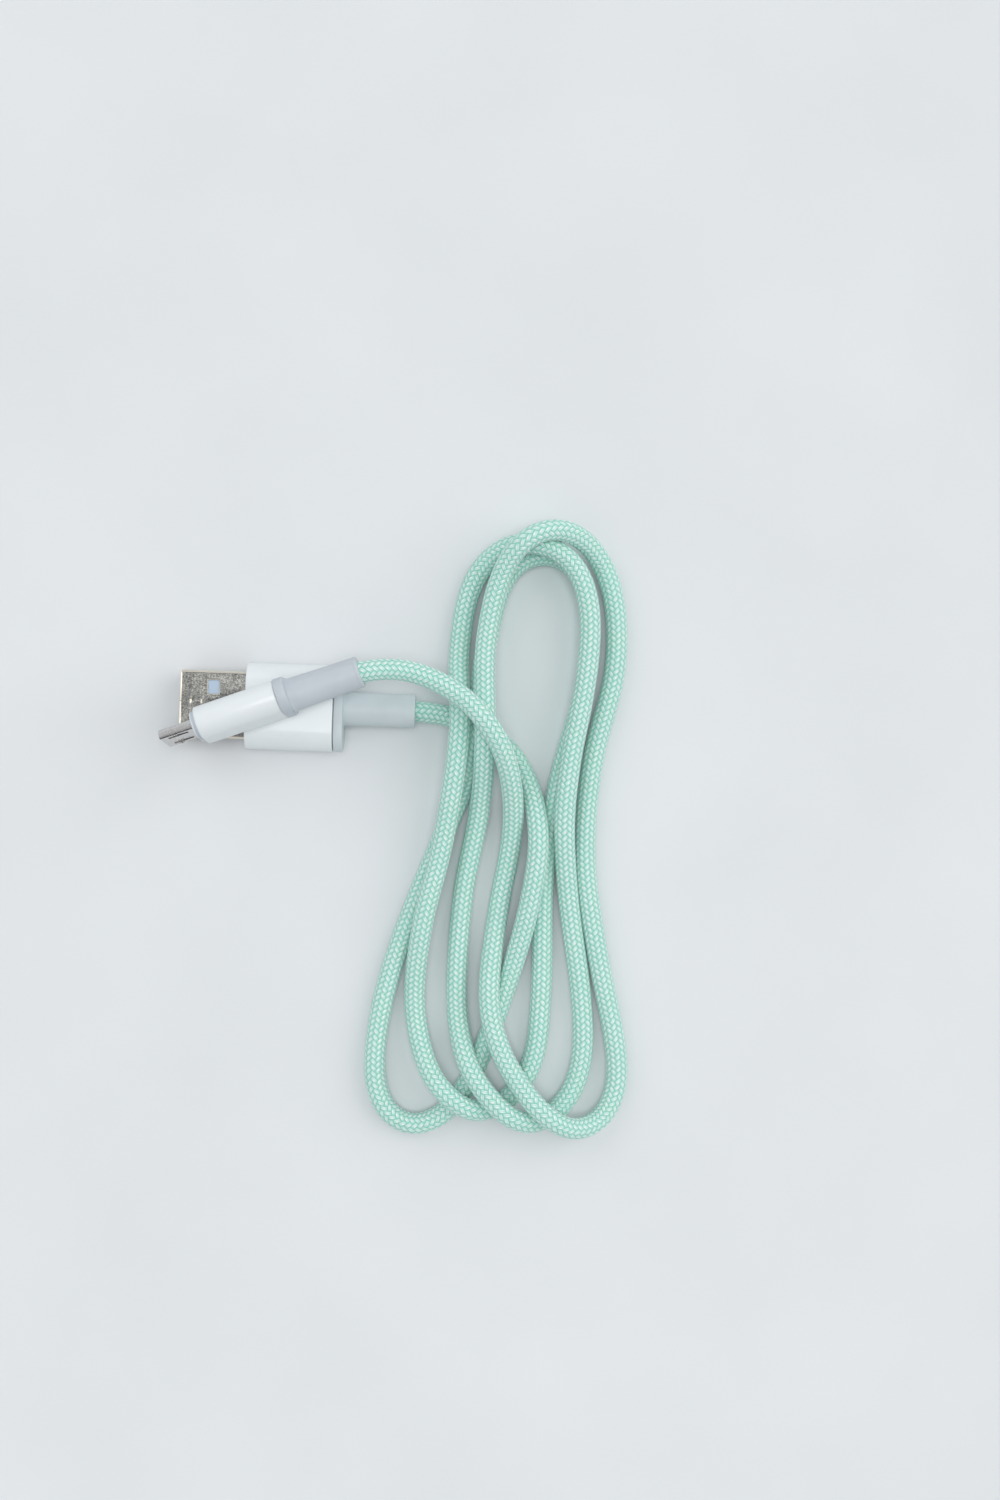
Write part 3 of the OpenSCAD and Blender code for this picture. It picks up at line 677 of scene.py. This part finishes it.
def d_outline(inset):
    """The micro-B shell's D shape with softened corners"""
    full_w, full_h = B["shell"][0] / 2, B["shell"][1] / 2
    half_w, half_h = full_w - inset, full_h - inset
    k = (math.sqrt(2) - 1) * inset
    low_z, narrow = B["bevel"] - full_h + k, full_w - B["bevel"] - k
    poly = np.array([(half_w, low_z), (half_w, half_h), (-half_w, half_h), (-half_w, low_z),
                     (-narrow, -half_h), (narrow, -half_h)])
    soft = []
    r = B["corner"] if inset <= 0 else max(B["corner"] - inset * 0.5, 0.05)
    for p, q, s in zip(np.roll(poly, 1, 0), poly, np.roll(poly, -1, 0)):
        into, out = (p - q) / np.linalg.norm(p - q), (s - q) / np.linalg.norm(s - q)
        reach = r * min(1.0, 1 / math.tan(math.acos(np.clip(into @ out, -1, 1)) / 2))
        start, stop = q + into * reach, q + out * reach
        for t in np.linspace(0, 1, 7):
            soft.append((1 - t) ** 2 * start + 2 * t * (1 - t) * q + t ** 2 * stop)
    return np.array(soft)


def spread_evenly(points, count):
    """count points at equal steps along the closed line through the points"""
    closed = np.vstack([points, points[:1]])
    run = np.concatenate([[0], np.cumsum(np.linalg.norm(np.diff(closed, axis=0), axis=1))])
    spots = np.linspace(0, run[-1], count, endpoint=False)
    return np.stack([np.interp(spots, run, closed[:, k]) for k in range(2)], 1)


def b_shell():
    t, x1 = B["sheet"], B["shell_l"]
    steps = np.arange(0.5, 6.0, 0.5)
    rings = edge_round(0, d_outline, 0.08, -1, 4)[::-1] + [at(x, d_outline(0)) for x in (*steps, x1)]
    rings += [at(x, d_outline(t)) for x in (x1, *steps[::-1], 0.0)]
    shell = loft("micro_b_shell_skin", rings, place_b)
    (slot_x0, slot_x1), y, half = B["slot"], B["slot_y"], B["slot_half"]
    cut(shell, [block((slot_x0, s * y - half, 0.2), (slot_x1, s * y + half, 2)) for s in (-1, 1)], place_b)
    bevel_edges(shell, 0.00004)
    tidy(shell, 40)

    def painted_shade(x, y, z):
        """painted shade: a dark line at the bend between the latches' face and the sides, and darker sides
        """
        bend = (z > 0.8) & (z < 0.923) & (np.abs(y) > 3.2) & (np.abs(y) < 3.39)
        return np.maximum(bend, 0.45 * ((np.abs(y) > 3.4) & (z < 0.8)))

    mark_painted_light(shell, own_place_b, painted_shade)
    return stand_for(shell, "micro_b_shell", "bright_steel", BRIGHT)


def b_sleeve():
    shape = stadium_in(*B["sleeve"])
    cavity = stadium(B["core"][0] + 2 * GAP, B["core"][1] + 2 * GAP)
    rings = edge_round(B["front"], shape, 0.24, -1)[::-1] + edge_round(B["back"], shape, 0.1, 1)
    rings += [at(B["back"], cavity), at(B["front"], cavity)]
    return stand_for(loft("micro_b_sleeve_skin", rings, place_b), "micro_b_sleeve", "white_gloss", WHITE)


def b_ring(w, h, inset=0.0):
    """A stadium with the many points that the parting line needs"""
    w, h = w - 2 * inset, h - 2 * inset
    return outline(w, h, min(w, h) / 2, 40)


def b_disc(r):
    return b_ring(2 * r, 2 * r)


def b_boot_ring(r):
    """A round section with the mould's parting line standing out of it on both sides"""
    points = b_disc(r)
    turn = (np.degrees(np.arctan2(points[:, 1], points[:, 0])) + 24) % 180
    off = np.minimum(turn, 180 - turn)
    return points * (1 + B["ridge"] / r * np.exp(-(off / 2.2) ** 2))[:, None]


def b_overmould():
    def core(inset):
        return b_ring(*B["core"], inset)

    def face(inset):
        return b_ring(*B["flange_size"], inset)

    flange = (B["flange"][0] - 0.14, B["flange"][1])
    rings = edge_round(B["nose"], core, 0.3, -1)[::-1] + [at(flange[0], core(0))]
    rings += edge_round(flange[0], face, 0.08, -1, 3)[::-1] + edge_round(flange[1], face, 0.3, 1)
    # a concave fillet into the strain relief
    for a in np.linspace(0, np.pi / 2, 7):
        r = B["boot_r"] + B["fillet"] * (1 - math.sin(a))
        rings.append(at(flange[1] + B["fillet_l"] * (1 - math.cos(a)), b_disc(r)))
    slope = (B["boot_end_r"] - B["boot_r"]) / (BOOT_B_END - flange[1])
    collar = BOOT_B_END - B["collar"]
    rings += [at(x, b_boot_ring(B["boot_r"] + slope * (x - flange[1]))) for x in (25.2, 28, 31, 34, collar)]
    lip = B["boot_end_r"] + 0.07
    rings += [at(collar + 0.08, b_disc(lip))]
    rings += edge_round(BOOT_B_END, lambda inset: b_disc(lip - inset), 0.16, 1)
    mould = b_ring(*B["mould"])
    hole = spread_evenly(d_outline(-GAP), len(mould))
    rings += mouth_rings(BOOT_B_END, B["mould_back"], b_disc)
    rings += [at(B["mould_back"], mould), at(B["mould_front"], mould), at(B["mould_front"], hole),
              at(B["nose"], hole)]
    skin = loft("micro_b_overmould_skin", rings, place_b)
    for polygon in skin.data.polygons:
        # painted light: the nose gets a paler copy of the grey, to lighten it where it faces away from the
        # lamps
        polygon.material_index = int(own_place_b(np.array(polygon.center) / MM)[0] < B["front"] + 0.5)
    return stand_for(skin, "micro_b_overmould", "grey_elastomer", GREY_B, GREY_B_PAINTED_LIGHT)


b_shell()
b_sleeve()
b_overmould()

# ---------------------------------------------------------------- materials of the other CAD pieces


FINISHES = {"back_shield": SHIELD, "inner_mould": MOULD, "jacket_end": JACKET, "braid_end": BRAID_END}
SKINNED = ("shell", "sleeve", "overmould", "cord")    # out of sight: another piece stands for each


def finish_of(plug, part):
    if part.startswith("contact"):
        return GOLD
    if part.startswith("latch"):
        return BRIGHT
    if part.startswith("wire"):
        return WIRES[part.split("_")[1]]
    if part == "insulator":
        return PALE if plug == "usb_a" else DARK
    return FINISHES[part]


for name, node in nodes.items():
    part = name.split("_", 2)[-1]
    if part not in SKINNED:
        for slot in node.material_slots:
            slot.material = finish_of(name[:-len(part) - 1], part)

# ---------------------------------------------------------------- floor and light

FLOOR_HALF, FLOOR_Z = 3000, -0.02


def floor_material():
    g = Graph("floor")
    cloud = g.noise(22.0, 3.0, 0.5)
    grain = g.noise(1400.0, 2.0, 0.6)
    colour = g.mix(g.ramp(cloud, 0.3, 0.7), (0.735, 0.76, 0.78), (0.77, 0.795, 0.815))
    return g.finish(Base_Color=colour, Roughness=0.7, Specular_IOR_Level=0.2,
                    Normal=g.bump(grain, 0.00003, 0.2))


corners = [(x * FLOOR_HALF, y * FLOOR_HALF, FLOOR_Z) for x, y in ((-1, -1), (1, -1), (1, 1), (-1, 1))]
floor = mesh_object("floor", corners, [(0, 1, 2, 3)], smooth=False)
floor.data.materials.append(floor_material())

world = bpy.data.worlds.new("world")
scene.world = world
world.use_nodes = True
sky = world.node_tree
# brighter round the horizon than overhead
HORIZON, OVERHEAD = 0.64, 0.2
way = sky.nodes.new("ShaderNodeSeparateXYZ")
sky.links.new(sky.nodes.new("ShaderNodeTexCoord").outputs["Generated"], way.inputs[0])
height = sky.nodes.new("ShaderNodeMapRange")
sky.links.new(way.outputs[2], height.inputs[0])
height.inputs[3].default_value, height.inputs[4].default_value = HORIZON, OVERHEAD
sky.links.new(height.outputs[0], sky.nodes["Background"].inputs["Strength"])
sky.nodes["Background"].inputs["Color"].default_value = (0.96, 0.985, 1.0, 1)


def studio_light(name, way, spread_deg, power, colour=(1, 1, 1)):
    """A soft light from way, as even far off as it is near, as wide as spread_deg in the sky"""
    data = bpy.data.lights.new(name, "SUN")
    data.energy, data.angle, data.color = power, math.radians(spread_deg), colour
    light = bpy.data.objects.new(name, data)
    light.rotation_euler = Vector(way).to_track_quat("Z", "Y").to_euler()
    scene.collection.objects.link(light)


studio_light("key", (0.60, 0.20, 0.50), 56, 1.08, (1.0, 0.985, 0.965))
studio_light("window", (-0.40, 0.45, 0.50), 46, 0.50, (0.98, 0.99, 1.0))
studio_light("fill", (-0.40, -0.35, 0.50), 50, 0.30, (0.98, 0.99, 1.0))
studio_light("overhead", (0.02, 0.02, 1), 26, 0.92, (0.99, 0.995, 1.0))
scene.view_settings.view_transform = "Standard"
